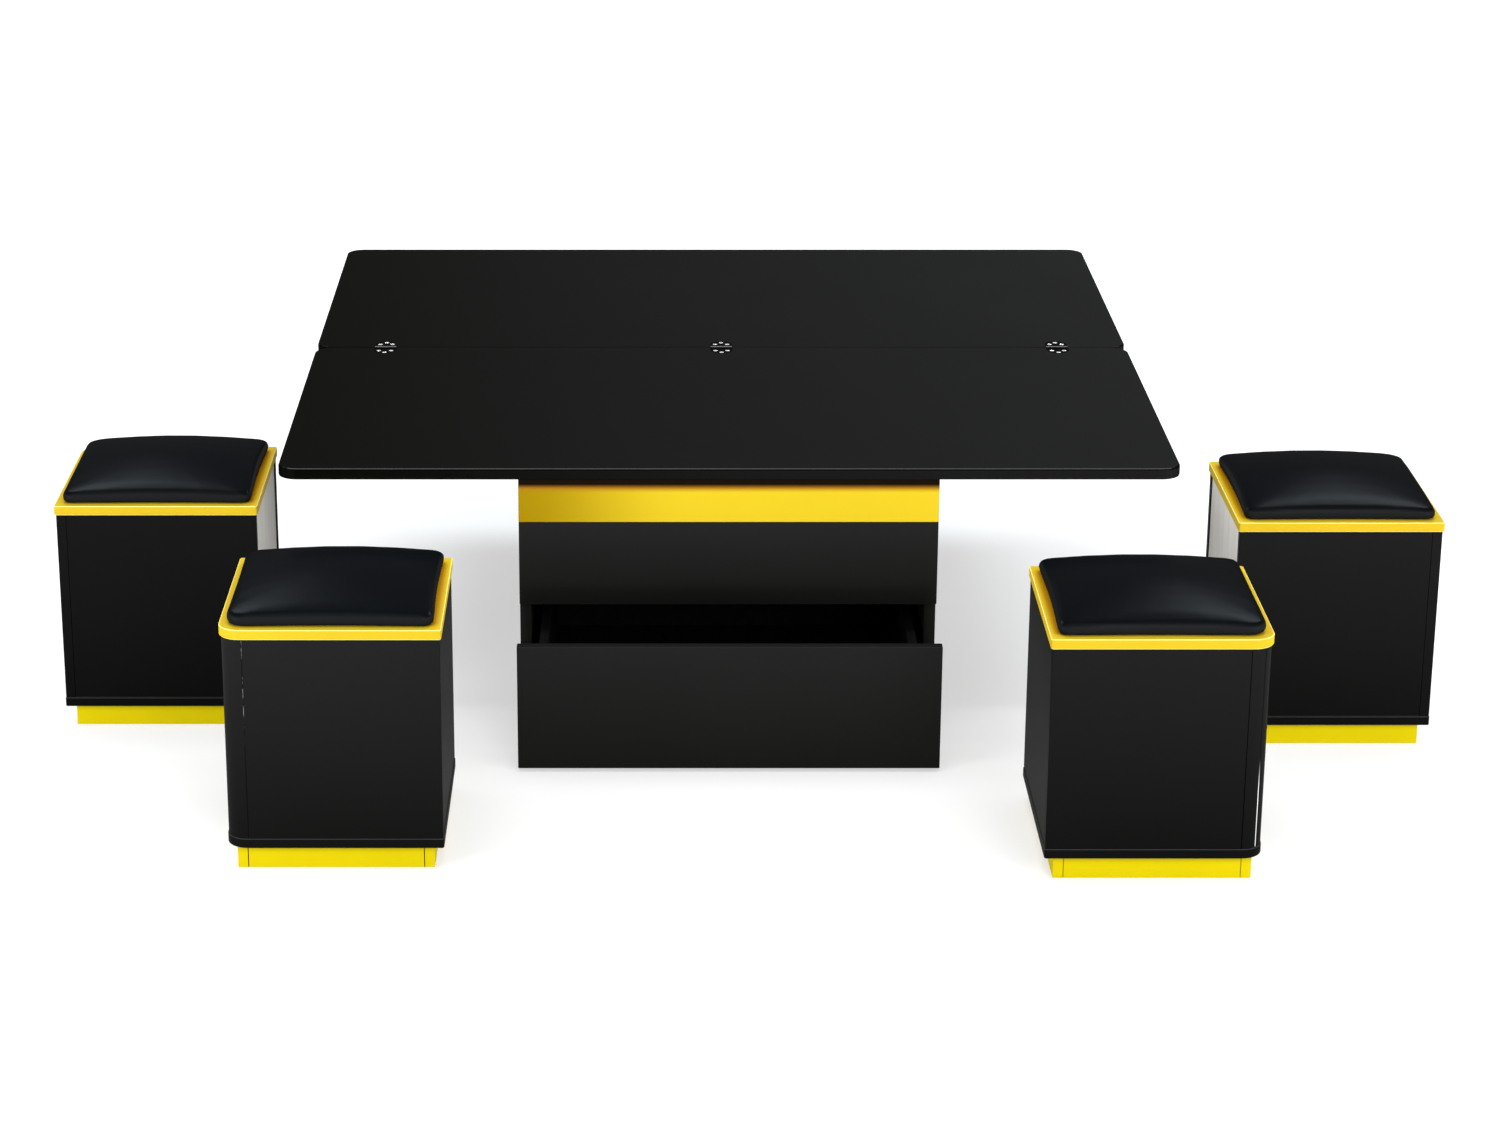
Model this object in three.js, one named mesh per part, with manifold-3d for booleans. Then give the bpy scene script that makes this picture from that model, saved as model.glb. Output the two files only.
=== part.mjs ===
// Lift-top coffee table with four stools that tuck under its ends.
// Millimetres, +Z up. The origin is on the floor under the middle of the cabinet.
// -Y is the drawer side and +Y is the side on which the second leaf unfolds.

import * as THREE from "three";
import { mergeVertices } from "three/addons/utils/BufferGeometryUtils.js";
import Module from "manifold-3d";

const wasm = await Module();
wasm.setup();

// Clearances and edges
const seat = 0.3;
const slack = 0.35;
const overrun = 5;
const arris = 1;
const weld = 0.0005;

// Tabletop leaves
const topLength = 1400;
const leafDepth = 700;
const leafThick = 18;
const leafCorner = 30;
const leafEase = 2.5;
const leafGap = 0.6;
const leafOverhang = 30;

// Cabinet
const cabinetWidth = 656;
const cabinetHeight = 363;
const boardThick = 18;
const thinBoard = 15;
const fasciaHeight = 136;
const drawerFloorGap = 6;
const fingerGap = 20;
const dividerRaise = 3;
const apronHeight = 78.4;
const shadowGap = 3;

// Drawer, shown pulled out as photographed
const drawerPull = 140;
const drawerBackRoom = 44;
const drawerSideThick = 15;
const drawerSideDrop = 33;
const drawerSideLift = 24;
const drawerFloorThick = 6;
const drawerFloorLift = 8;

// Drawer slides
const slideBackRoom = 103.4;
const slideHeight = 45;
const slideGauge = 1.2;
const slideSpace = 13;

// Lift linkage
const plateGauge = 3;
const armGauge = 5;
const armWidth = 26;
const armRest = THREE.MathUtils.degToRad(8);
const armTube = 8;
const frontPivotInset = 95;
const frontPivotDrop = 33;
const pivotSpacing = 135;
const pivotStep = 30;
const rearPivotInset = 63.4;
const pivotPin = 6;
const pinHead = 9;
const headThick = 2.4;
const washerThick = 1.4;
const washerRim = 1.4;
const plateRim = 16;
const baseTube = 10;
const baseTubeInset = 70;
const railFlange = 40;
const railDrop = 22;
const railInset = 30;
const railTube = 20;

// Gas springs
const springCrank = 120;
const crankRest = THREE.MathUtils.degToRad(-37.5);
const crankLead = THREE.MathUtils.degToRad(24.5);
const lugRun = 192;
const springInset = 17;
const springTube = 10;
const springRod = 4;
const springEye = 8.5;
const springEyeWidth = 8;
const springPin = 5;
const springPinHead = 7.5;
const springBottom = 10;
const springLength = 111;
const springWall = 5;
const rodLength = 118;
const springSeal = 1.5;

// Flush flip-top hinges
const hingeWidth = 37;
const hingeReach = 38;
const hingeGauge = 2;
const hingeSink = 0.15;
const hingeInset = 120;
const knuckleRadius = 2.5;
const knuckleCount = 5;
const hingePin = 1.2;

// Stools
const stoolSize = 320;
const stoolHeight = 374;
const stoolBoard = 15;
const stoolLip = 2.5;
const stoolSlabLip = 1;
const stoolCorner = 32;
const stoolCornerSmall = 3;
const plinthHeight = 36;
const plinthInset = 14;
const backingThick = 4;
const backingInset = 2;
const seamWidth = 1.4;
const seamDepth = 1.6;

// Cushions
const cushionInset = 12.5;
const cushionCorner = 14;
const cushionCornerLarge = 26;
const cushionEdge = 16;
const cushionCrown = 38;
const cushionMid = 24;
const cushionDrawIn = 2.5;
const cushionTuck = 3;

// Rings up a cushion's side, each drawn in by a share of the tuck and raised by a share of
// the height there, and then the rings across its top as shares of its half-width
const cushionSideShares = [[1, 0], [0.3, 0.2], [0, 0.5], [0.4, 0.78], [1.3, 0.93], [3.2, 1]];
const cushionTopShares = [0.84, 0.66, 0.44, 0.22];
const cushionStraightShares = [0.2, 0.4, 0.6, 0.8];
const cushionCornerSteps = 5;

// Places of the stools when pulled out, and which way each is turned
const stoolFrontOut = { left: [-580, -682], right: [605, -720] };
const stoolBackOut = { left: [-901, -113], right: [951, -196] };

// Heights and places that follow
const half = { x: cabinetWidth / 2, y: leafDepth / 2 - leafOverhang };
const leafUnder = cabinetHeight + seat + apronHeight + seat;
const topSurface = leafUnder + leafThick;
const jointLine = leafDepth / 2;
const wallInside = half.x - boardThick;
const fasciaBottom = cabinetHeight - fasciaHeight;
const drawerTop = fasciaBottom - fingerGap;
const dividerBottom = fasciaBottom + dividerRaise;
const dividerTop = dividerBottom + thinBoard;
const frontBack = -half.y + boardThick;
const backInside = half.y - boardThick;
const slideLength = backInside - frontBack - 2 * seat - slideBackRoom;
const plateOut = wallInside - seat;
const plateIn = plateOut - plateGauge;
const armOut = plateIn - washerThick - seat;
const armIn = armOut - armGauge;
const armSpan = 2 * half.y - frontPivotInset - pivotSpacing - rearPivotInset;
const armLength = armSpan / Math.cos(armRest);
const frontPivot = [-half.y + frontPivotInset, cabinetHeight - frontPivotDrop];
const rearPivot = [frontPivot[0] + pivotSpacing, frontPivot[1] - pivotStep];
const frontLift = polar(frontPivot, armLength, armRest);
const rearLift = polar(rearPivot, armLength, armRest);
const springFoot = polar(frontPivot, springCrank, crankRest);
const springHead = polar(frontPivot, springCrank, armRest + crankLead);
const springX = armIn - springInset;
const roundSteps = 16;

// Materials
const finish = (color, roughness, metalness = 0) =>
  new THREE.MeshStandardMaterial({ color, roughness, metalness });
const lacquer = finish(0x1b1b1a, 0.3);
const yellow = finish(0xf3bd12, 0.38);
const greyBoard = finish(0xb4b4b0, 0.6);
const drawerBoard = finish(0x181818, 0.5);
const leather = finish(0x14171b, 0.42);
const blackSteel = finish(0x1a1b1c, 0.45, 0.6);
const slideSteel = finish(0x9da0a3, 0.32, 0.9);
const hingeSteel = finish(0x26272a, 0.35, 0.8);
const chrome = finish(0xd5d7da, 0.12, 1);

const table = new THREE.Group();

function polar([y, z], radius, angle) {
  return [y + radius * Math.cos(angle), z + radius * Math.sin(angle)];
}

// Points along an arc, both ends included
function arc(cx, cy, radius, from, to, steps) {
  const points = [];
  for (let i = 0; i <= steps; i += 1) {
    const angle = from + ((to - from) * i) / steps;
    points.push(new THREE.Vector2(cx + radius * Math.cos(angle), cy + radius * Math.sin(angle)));
  }
  return points;
}

// A rectangle's outline; radii run from the low corner counterclockwise
function rounded([x0, x1], [y0, y1], radii, steps) {
  const quarter = Math.PI / 2;
  const [a, b, c, d] = radii;
  return [
    ...arc(x0 + a, y0 + a, a, 2 * quarter, 3 * quarter, steps),
    ...arc(x1 - b, y0 + b, b, 3 * quarter, 4 * quarter, steps),
    ...arc(x1 - c, y1 - c, c, 0, quarter, steps),
    ...arc(x0 + d, y1 - d, d, quarter, 2 * quarter, steps),
  ];
}

function circle([cx, cy], radius, steps = roundSteps) {
  return arc(cx, cy, radius, 0, 2 * Math.PI, steps).slice(0, steps);
}

// A hole whose flats clear a round pin by the running slack
function pinHole(centre, pin, steps = roundSteps) {
  return circle(centre, (pin + slack) / Math.cos(Math.PI / steps), steps);
}

// The belt round a set of circles, as a stamped plate is drawn
function belt(discs) {
  const points = discs.flatMap(([centre, radius]) => circle(centre, radius));
  points.sort((p, q) => p.x - q.x || p.y - q.y);
  const chain = (list) => {
    const kept = [];
    for (const point of list) {
      while (kept.length > 1 && turn(kept.at(-2), kept.at(-1), point) <= 0) kept.pop();
      kept.push(point);
    }
    return kept.slice(0, -1);
  };
  return [...chain(points), ...chain(points.slice().reverse())];
}

function turn(a, b, c) {
  return (b.x - a.x) * (c.y - a.y) - (b.y - a.y) * (c.x - a.x);
}

function toSolid(geometry) {
  geometry.deleteAttribute("normal");
  geometry.deleteAttribute("uv");
  const merged = mergeVertices(geometry, weld);
  return new wasm.Manifold(new wasm.Mesh({
    numProp: 3,
    vertProperties: new Float32Array(merged.attributes.position.array),
    triVerts: new Uint32Array(merged.index.array),
  }));
}

function toGeometry(solid) {
  const { vertProperties, triVerts } = solid.getMesh();
  const geometry = new THREE.BufferGeometry();
  geometry.setAttribute("position", new THREE.BufferAttribute(vertProperties, 3));
  geometry.setIndex(new THREE.BufferAttribute(triVerts, 1));
  return geometry;
}

// An outline pushed up from z0 to z1, with its rims eased
function rise(points, [z0, z1], ease = 0, easeSteps = 1) {
  const geometry = new THREE.ExtrudeGeometry(new THREE.Shape(points), {
    depth: z1 - z0 - 2 * ease,
    bevelEnabled: ease > 0,
    bevelThickness: ease,
    bevelSize: ease,
    bevelOffset: -ease,
    bevelSegments: easeSteps,
  });
  geometry.translate(0, 0, z0 + ease);
  return toSolid(geometry);
}

// An outline in Y and Z pushed along X
function across(points, [x0, x1]) {
  const geometry = new THREE.ExtrudeGeometry(new THREE.Shape(points), {
    depth: x1 - x0,
    bevelEnabled: false,
  });
  const turned = new THREE.Matrix4().makeBasis(
    new THREE.Vector3(0, 1, 0),
    new THREE.Vector3(0, 0, 1),
    new THREE.Vector3(1, 0, 0),
  );
  geometry.applyMatrix4(turned);
  geometry.translate(x0, 0, 0);
  return toSolid(geometry);
}

function block([x0, x1], [y0, y1], [z0, z1]) {
  const geometry = new THREE.BoxGeometry(x1 - x0, y1 - y0, z1 - z0);
  geometry.translate((x0 + x1) / 2, (y0 + y1) / 2, (z0 + z1) / 2);
  return toSolid(geometry);
}

// A sawn board with every edge eased
function panel(x, y, z, ease = arris) {
  return rise(rounded(x, y, [ease, ease, ease, ease], 1), z, ease);
}

function join(solids) {
  return solids.reduce((all, solid) => all.add(solid));
}

// A range on the left or the right of the middle, from two distances to it
function sided(side, near, far) {
  return side < 0 ? [-far, -near] : [near, far];
}

function sideName(side) {
  return side < 0 ? "left" : "right";
}

function place(parent, name, solid, material) {
  const mesh = new THREE.Mesh(toGeometry(solid), material);
  mesh.name = name;
  parent.add(mesh);
  return mesh;
}

function buildCabinet() {
  const inside = [-wallInside + seat, wallInside - seat];
  const wallRun = [frontBack + seat, half.y];
  for (const side of [-1, 1]) {
    const wall = panel(sided(side, wallInside, half.x), wallRun, [0, cabinetHeight]);
    place(table, `base_side_${sideName(side)}`, wall, lacquer);
  }
  const floorRun = [frontBack + seat, backInside - seat];
  place(table, "base_back", panel(inside, [backInside, half.y], [0, cabinetHeight]), lacquer);
  place(table, "base_bottom", panel(inside, floorRun, [0, thinBoard]), drawerBoard);
  place(table, "drawer_divider", panel(inside, floorRun, [dividerBottom, dividerTop]), drawerBoard);
  const fascia = panel([-half.x, half.x], [-half.y, frontBack], [fasciaBottom, cabinetHeight]);
  place(table, "front_fascia", fascia, lacquer);
}

// One folded channel of a slide, open towards the drawer or towards the wall
function channel(side, webAt, lipAt, height) {
  const web = sided(side, Math.min(webAt, lipAt), Math.max(webAt, lipAt));
  const outer = block(web, [0, slideLength], [-height / 2, height / 2]);
  const reach = webAt > lipAt
    ? [lipAt - overrun, webAt - slideGauge]
    : [webAt + slideGauge, lipAt + overrun];
  const core = [-height / 2 + slideGauge, height / 2 - slideGauge];
  return outer.subtract(block(sided(side, ...reach), [-overrun, slideLength + overrun], core));
}

function buildDrawer() {
  const drawer = new THREE.Group();
  drawer.position.y = -drawerPull;
  table.add(drawer);

  const boxOut = wallInside - slideSpace;
  const boxIn = boxOut - drawerSideThick;
  const boxBack = backInside - drawerBackRoom;
  const sideZ = [drawerSideLift, drawerTop - drawerSideDrop];
  const floorBottom = drawerSideLift + drawerFloorLift;
  const floorZ = [floorBottom, floorBottom + drawerFloorThick];
  const backY = [boxBack - drawerSideThick, boxBack];
  const between = [-boxIn + seat, boxIn - seat];
  const frontZ = [drawerFloorGap, drawerTop];

  place(drawer, "drawer_front", panel([-half.x, half.x], [-half.y, frontBack], frontZ), lacquer);
  for (const side of [-1, 1]) {
    const wall = panel(sided(side, boxIn, boxOut), [frontBack + seat, boxBack], sideZ);
    place(drawer, `drawer_side_${sideName(side)}`, wall, drawerBoard);
  }
  const back = panel(between, backY, [floorZ[1] + seat, sideZ[1]]);
  place(drawer, "drawer_back", back, drawerBoard);
  place(drawer, "drawer_bottom", block(between, [frontBack + seat, boxBack], floorZ), drawerBoard);

  const slideY = frontBack + 2 * seat;
  const slideZ = (sideZ[0] + sideZ[1]) / 2;
  const wallFace = wallInside - seat;
  const boxFace = boxOut + seat;
  for (const side of [-1, 1]) {
    const outer = channel(side, wallFace, boxFace + slideGauge + seat, slideHeight);
    const outerMesh = place(table, `slide_outer_${sideName(side)}`, outer, slideSteel);
    outerMesh.position.set(0, slideY, slideZ);
    const innerHeight = slideHeight - 2 * slideGauge - 2 * slack;
    const inner = channel(side, boxFace, wallFace - slideGauge - 2 * slack, innerHeight);
    const innerMesh = place(drawer, `slide_inner_${sideName(side)}`, inner, slideSteel);
    innerMesh.position.set(0, slideY, slideZ);
  }
}

// A headed pivot pin with a washer boss, carried by a plate at its outer end
function stud(side, centre) {
  const head = [armIn - seat - headThick, armIn - seat];
  const root = plateIn + plateGauge / 2;
  return join([
    across(circle(centre, pivotPin), sided(side, head[0], root)),
    across(circle(centre, pinHead + washerRim), sided(side, armOut + seat, root)),
    across(circle(centre, pinHead), sided(side, ...head)),
  ]);
}

// The pin that carries an eye of a gas spring, from a plate's inner face
function springStud(side, centre, plateFace) {
  const eye = [springX - springEyeWidth / 2 - seat, springX + springEyeWidth / 2 + seat];
  return join([
    across(circle(centre, springPin), sided(side, eye[0] - headThick, plateFace)),
    across(circle(centre, springPinHead), sided(side, eye[0] - headThick, eye[0])),
    across(circle(centre, springPinHead), sided(side, eye[1], plateFace)),
  ]);
}

function buildLiftBase() {
  const tubeAt = [-half.y + baseTubeInset, dividerTop + baseTube + seat];
  const root = plateIn + plateGauge / 2;
  const parts = [across(circle(tubeAt, baseTube), [-root, root])];
  const outline = belt([
    [frontPivot, plateRim],
    [rearPivot, plateRim],
    [springFoot, springPinHead + seat],
    [tubeAt, baseTube],
  ]);
  for (const side of [-1, 1]) {
    parts.push(across(outline, sided(side, plateIn, plateOut)));
    parts.push(stud(side, frontPivot), stud(side, rearPivot));
    parts.push(springStud(side, springFoot, root));
  }
  place(table, "lift_base_frame", join(parts), blackSteel);
}

// A pair of flat arms joined by a tube, drilled at both ends
function armPair(from, to) {
  const middle = [(from[0] + to[0]) / 2, (from[1] + to[1]) / 2];
  const root = armIn + armGauge / 2;
  const parts = [across(circle(middle, armTube), [-root, root])];
  const arm = belt([[from, armWidth / 2], [to, armWidth / 2]]);
  for (const side of [-1, 1]) {
    parts.push(across(arm, sided(side, armIn, armOut)));
  }
  return parts;
}

function drillArms(solid, centres) {
  const drills = centres.map((centre) => across(pinHole(centre, pivotPin), [-plateOut, plateOut]));
  return drills.reduce((rest, drill) => rest.subtract(drill), solid);
}

function buildArms() {
  const parts = armPair(frontPivot, frontLift);
  const lugFoot = polar(frontPivot, lugRun, armRest);
  const lug = belt([
    [frontPivot, armWidth / 2],
    [springHead, springPinHead + seat],
    [lugFoot, armWidth / 2],
  ]);
  for (const side of [-1, 1]) {
    parts.push(across(lug, sided(side, armIn, armOut)));
    parts.push(springStud(side, springHead, armIn + armGauge / 2));
  }
  const front = drillArms(join(parts), [frontPivot, frontLift]);
  place(table, "front_arm_frame", front, blackSteel);
  const rear = drillArms(join(armPair(rearPivot, rearLift)), [rearPivot, rearLift]);
  place(table, "rear_arm_frame", rear, blackSteel);
}

// Gas springs, drawn along local +Y from the lower eye and then leaned into place
function buildGasSprings() {
  const span = [springHead[0] - springFoot[0], springHead[1] - springFoot[1]];
  const length = Math.hypot(...span);
  const lean = Math.atan2(span[1], span[0]);
  const eyeX = [springX - springEyeWidth / 2, springX + springEyeWidth / 2];
  const top = springBottom + springLength;
  const bore = (springRod + slack) / Math.cos(Math.PI / roundSteps);
  const tubeProfile = [
    [0, springBottom],
    [springTube - springSeal, springBottom],
    [springTube, springBottom + springSeal],
    [springTube, top - springSeal],
    [springTube - springSeal, top],
    [bore, top],
    [bore, springBottom + springWall],
    [0, springBottom + springWall],
  ];
  const rodEnd = length - rodLength;
  const rodProfile = [
    [0, rodEnd],
    [springRod, rodEnd],
    [springRod, length],
    [0, length],
  ];
  const tubeShank = [0, springBottom + springWall / 2];
  const rodShank = [length - springEye, length];
  const pieces = [
    { name: "gas_cylinder", profile: tubeProfile, eyeAt: 0, shank: tubeShank, skin: blackSteel },
    { name: "gas_rod", profile: rodProfile, eyeAt: length, shank: rodShank, skin: chrome },
  ];
  for (const side of [-1, 1]) {
    const eyeRange = sided(side, ...eyeX);
    for (const piece of pieces) {
      const profile = piece.profile.map(([r, y]) => new THREE.Vector2(r, y));
      const body = new THREE.LatheGeometry(profile, roundSteps);
      body.translate(side * springX, 0, 0);
      const eye = across(circle([piece.eyeAt, 0], springEye), eyeRange);
      const shank = block(eyeRange, piece.shank, [-springRod, springRod]);
      const hole = across(pinHole([piece.eyeAt, 0], springPin), sided(side, 0, plateOut));
      const solid = join([toSolid(body), eye, shank]).subtract(hole);
      const mesh = place(table, `${piece.name}_${sideName(side)}`, solid, piece.skin);
      mesh.rotation.x = lean;
      mesh.position.set(0, ...springFoot);
    }
  }
}

function buildPlatform() {
  const railZ = [leafUnder - seat - railDrop, leafUnder - seat];
  const railY = [-half.y + railInset, half.y - railInset];
  const tubeZ = [railZ[1] - railTube, railZ[1]];
  const flangeZ = [railZ[1] - plateGauge, railZ[1]];
  const root = plateIn + plateGauge / 2;
  const parts = [];
  for (const y of [railY[0], railY[1] - railTube]) {
    parts.push(block([-root, root], [y, y + railTube], tubeZ));
  }
  const ear = belt([
    [frontLift, plateRim],
    [rearLift, plateRim],
    [[frontLift[0], railZ[1] - plateRim], plateRim],
    [[rearLift[0], railZ[1] - plateRim], plateRim],
  ]);
  for (const side of [-1, 1]) {
    parts.push(block(sided(side, plateOut - railFlange, plateOut), railY, flangeZ));
    parts.push(block(sided(side, plateIn, plateOut), railY, railZ));
    parts.push(across(ear, sided(side, plateIn, plateOut)));
    parts.push(stud(side, frontLift), stud(side, rearLift));
  }
  place(table, "lift_platform", join(parts), blackSteel);

  const apronZ = [cabinetHeight + seat, leafUnder - seat];
  const shoulder = apronZ[1] - shadowGap;
  const outer = panel([-half.x, half.x], [-half.y, half.y], [apronZ[0], shoulder]);
  const neck = [half.x - shadowGap, half.y - shadowGap];
  const neckZ = [shoulder - overrun, apronZ[1]];
  const rebate = block([-neck[0], neck[0]], [-neck[1], neck[1]], neckZ);
  const core = block(
    [-wallInside, wallInside],
    [-half.y + boardThick, half.y - boardThick],
    [apronZ[0] - overrun, apronZ[1] + overrun],
  );
  place(table, "apron_frame", outer.add(rebate).subtract(core), yellow);
}

// One plate of a flush hinge, drawn with its axis at the origin and its plate towards -Y
function hingePlate(hasPin) {
  const top = -seat / 2 - hingeSink;
  const endRadius = hingeWidth / 2;
  const w = hingeWidth / 2;
  const outline = [
    new THREE.Vector2(w, -knuckleRadius - slack),
    new THREE.Vector2(-w, -knuckleRadius - slack),
    ...arc(0, -hingeReach + endRadius, endRadius, Math.PI, 2 * Math.PI, roundSteps),
  ];
  const plate = rise(outline.reverse(), [top - hingeGauge, top]);
  const pitch = hingeWidth / knuckleCount;
  const parts = [plate];
  for (let i = 0; i < knuckleCount; i += 1) {
    const ours = (i % 2 === 0) === hasPin;
    if (!ours) continue;
    const span = [-w + i * pitch + seat / 2, -w + (i + 1) * pitch - seat / 2];
    parts.push(across(circle([0, 0], knuckleRadius), span));
    parts.push(block(span, [-knuckleRadius - 2 * slack, 0], [top - hingeGauge, top]));
  }
  const pin = across(circle([0, 0], hingePin), [-w + seat / 2, w - seat / 2]);
  if (hasPin) return join([...parts, pin]);
  return join(parts).subtract(across(pinHole([0, 0], hingePin), [-w, w]));
}

// The pocket that a hinge plate lies in, with the trough for its knuckles
function hingePocket() {
  const grow = hingeWidth / 2 + seat;
  const floor = -seat / 2 - hingeSink - hingeGauge - seat;
  const outline = [
    ...arc(0, -hingeReach + hingeWidth / 2, grow, Math.PI, 2 * Math.PI, roundSteps),
    new THREE.Vector2(grow, overrun),
    new THREE.Vector2(-grow, overrun),
  ];
  const plate = rise(outline, [floor, overrun]);
  return plate.add(across(circle([0, 0], knuckleRadius + slack), [-grow, grow]));
}

function buildLeaves() {
  const axis = topSurface + seat / 2;
  const hingeX = topLength / 2 - hingeInset;
  const corners = [leafCorner, leafCorner, leafCorner, leafCorner];
  const halfLength = topLength / 2;
  const leafZ = [leafUnder, topSurface];
  const hinges = [-hingeX, 0, hingeX];
  const leaves = [
    { kind: "fixed", y: [jointLine - leafDepth, jointLine - leafGap / 2], turn: 0 },
    { kind: "flip", y: [jointLine + leafGap / 2, jointLine + leafDepth], turn: Math.PI },
  ];
  for (const leaf of leaves) {
    const outline = rounded([-halfLength, halfLength], leaf.y, corners, roundSteps / 2);
    let solid = rise(outline, leafZ, leafEase, 2);
    const pocket = toGeometry(hingePocket());
    pocket.rotateZ(leaf.turn);
    const hinge = hingePlate(leaf.turn === 0);
    hinges.forEach((x, index) => {
      solid = solid.subtract(toSolid(pocket.clone().translate(x, jointLine, axis)));
      const mesh = place(table, `hinge_plate_${leaf.kind}_${index + 1}`, hinge, hingeSteel);
      mesh.rotation.z = leaf.turn;
      mesh.position.set(x, jointLine, axis);
    });
    place(table, `${leaf.kind}_leaf`, solid, lacquer);
  }
}

// A seam scratched into a vertical face as a V, at a given place along the outline
function seam(along, at, depthDirection, seamHalf = seamWidth / 2) {
  const point = (t, d) => new THREE.Vector2(
    at[0] + along[0] * t + depthDirection[0] * d,
    at[1] + along[1] * t + depthDirection[1] * d,
  );
  return [point(-seamHalf, 0), point(0, seamDepth), point(seamHalf, 0)];
}

// The outline of the stool's slabs: one corner is broad and round
function stoolOutline(size) {
  const quarter = Math.PI / 2;
  const large = size - stoolCorner;
  const small = size - stoolCornerSmall;
  return [
    ...arc(-large, -large, stoolCorner, 2 * quarter, 3 * quarter, roundSteps / 2),
    ...arc(small, -small, stoolCornerSmall, 3 * quarter, 4 * quarter, 2),
    ...arc(small, small, stoolCornerSmall, 0, quarter, 2),
    ...arc(-small, small, stoolCornerSmall, quarter, 2 * quarter, 2),
  ];
}

// Two walls and the rounded corner between them, with a seam where each wall meets the arc
function cornerShell(size, z) {
  const t = thinBoard;
  const r = stoolCorner;
  const outline = [
    ...seam([1, 0], [-size + r, -size], [0, 1]),
    new THREE.Vector2(size - arris, -size),
    new THREE.Vector2(size, -size + arris),
    new THREE.Vector2(size, -size + t),
    ...arc(-size + r, -size + r, r - t, 3 * (Math.PI / 2), Math.PI, roundSteps / 4),
    new THREE.Vector2(-size + t, size),
    new THREE.Vector2(-size + arris, size),
    new THREE.Vector2(-size, size - arris),
    ...seam([0, -1], [-size, -size + r], [1, 0]),
    ...arc(-size + r, -size + r, r, Math.PI, 3 * (Math.PI / 2), roundSteps / 2).slice(1, -1),
  ];
  return rise(outline, z);
}

// The kick frame under a stool; the boards' end seams show on two of its faces
function plinthFrame(size) {
  const t = thinBoard;
  const outline = [
    new THREE.Vector2(-size, -size),
    ...seam([1, 0], [-size + t, -size], [0, 1]),
    ...seam([1, 0], [size - t, -size], [0, 1]),
    new THREE.Vector2(size, -size),
    new THREE.Vector2(size, size),
    ...seam([-1, 0], [size - t, size], [0, -1]),
    ...seam([-1, 0], [-size + t, size], [0, -1]),
    new THREE.Vector2(-size, size),
  ];
  const z = [0, plinthHeight];
  const core = [-size + t, size - t];
  return rise(outline, z).subtract(block(core, core, [-overrun, plinthHeight + overrun]));
}

// A crowned cushion: low at its corners, fuller at mid-edge and highest in the middle
function cushionSolid() {
  const size = stoolSize / 2 - cushionInset;
  const radii = [cushionCornerLarge, cushionCorner, cushionCorner, cushionCorner];
  const corners = rounded([-size, size], [-size, size], radii, cushionCornerSteps);
  const outline = [];
  corners.forEach((point, index) => {
    outline.push(point);
    if (index % (cushionCornerSteps + 1) !== cushionCornerSteps) return;
    const next = corners[(index + 1) % corners.length];
    for (const share of cushionStraightShares) {
      const between = point.clone().lerp(next, share);
      const inward = cushionDrawIn * Math.sin(Math.PI * share);
      outline.push(between.multiplyScalar(1 - inward / between.length()));
    }
  });
  const topAt = (x, y) => {
    const u = 1 - (x / size) ** 2;
    const v = 1 - (y / size) ** 2;
    const middle = cushionCrown - 2 * cushionMid + cushionEdge;
    return cushionEdge + (cushionMid - cushionEdge) * (u + v) + middle * u * v;
  };
  const rings = [
    ...cushionSideShares.map(([tuckShare, upShare]) => [1 - (tuckShare * cushionTuck) / size, upShare]),
    ...cushionTopShares.map((share) => [share, 1]),
  ];
  const positions = [];
  for (const [scaleShare, upShare] of rings) {
    for (const point of outline) {
      const [x, y] = [point.x * scaleShare, point.y * scaleShare];
      positions.push(x, y, topAt(x, y) * upShare);
    }
  }
  const count = outline.length;
  const index = [];
  for (let r = 0; r + 1 < rings.length; r += 1) {
    for (let i = 0; i < count; i += 1) {
      const [a, b] = [r * count + i, r * count + ((i + 1) % count)];
      index.push(a, b, b + count, a, b + count, a + count);
    }
  }
  const bottomCentre = rings.length * count;
  const topCentre = bottomCentre + 1;
  positions.push(0, 0, 0, 0, 0, topAt(0, 0));
  const last = (rings.length - 1) * count;
  for (let i = 0; i < count; i += 1) {
    const next = (i + 1) % count;
    index.push(bottomCentre, next, i);
    index.push(topCentre, last + i, last + next);
  }
  const geometry = new THREE.BufferGeometry();
  geometry.setAttribute("position", new THREE.Float32BufferAttribute(positions, 3));
  geometry.setIndex(index);
  return toSolid(geometry);
}

// A geometry reflected in its own X, for the stools on the right
function reflected(solid) {
  const geometry = toGeometry(solid);
  const position = geometry.attributes.position;
  for (let i = 0; i < position.count; i += 1) position.setX(i, -position.getX(i));
  const index = geometry.index;
  for (let i = 0; i < index.count; i += 3) {
    const kept = index.getX(i);
    index.setX(i, index.getX(i + 1));
    index.setX(i + 1, kept);
  }
  return toSolid(geometry);
}

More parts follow.
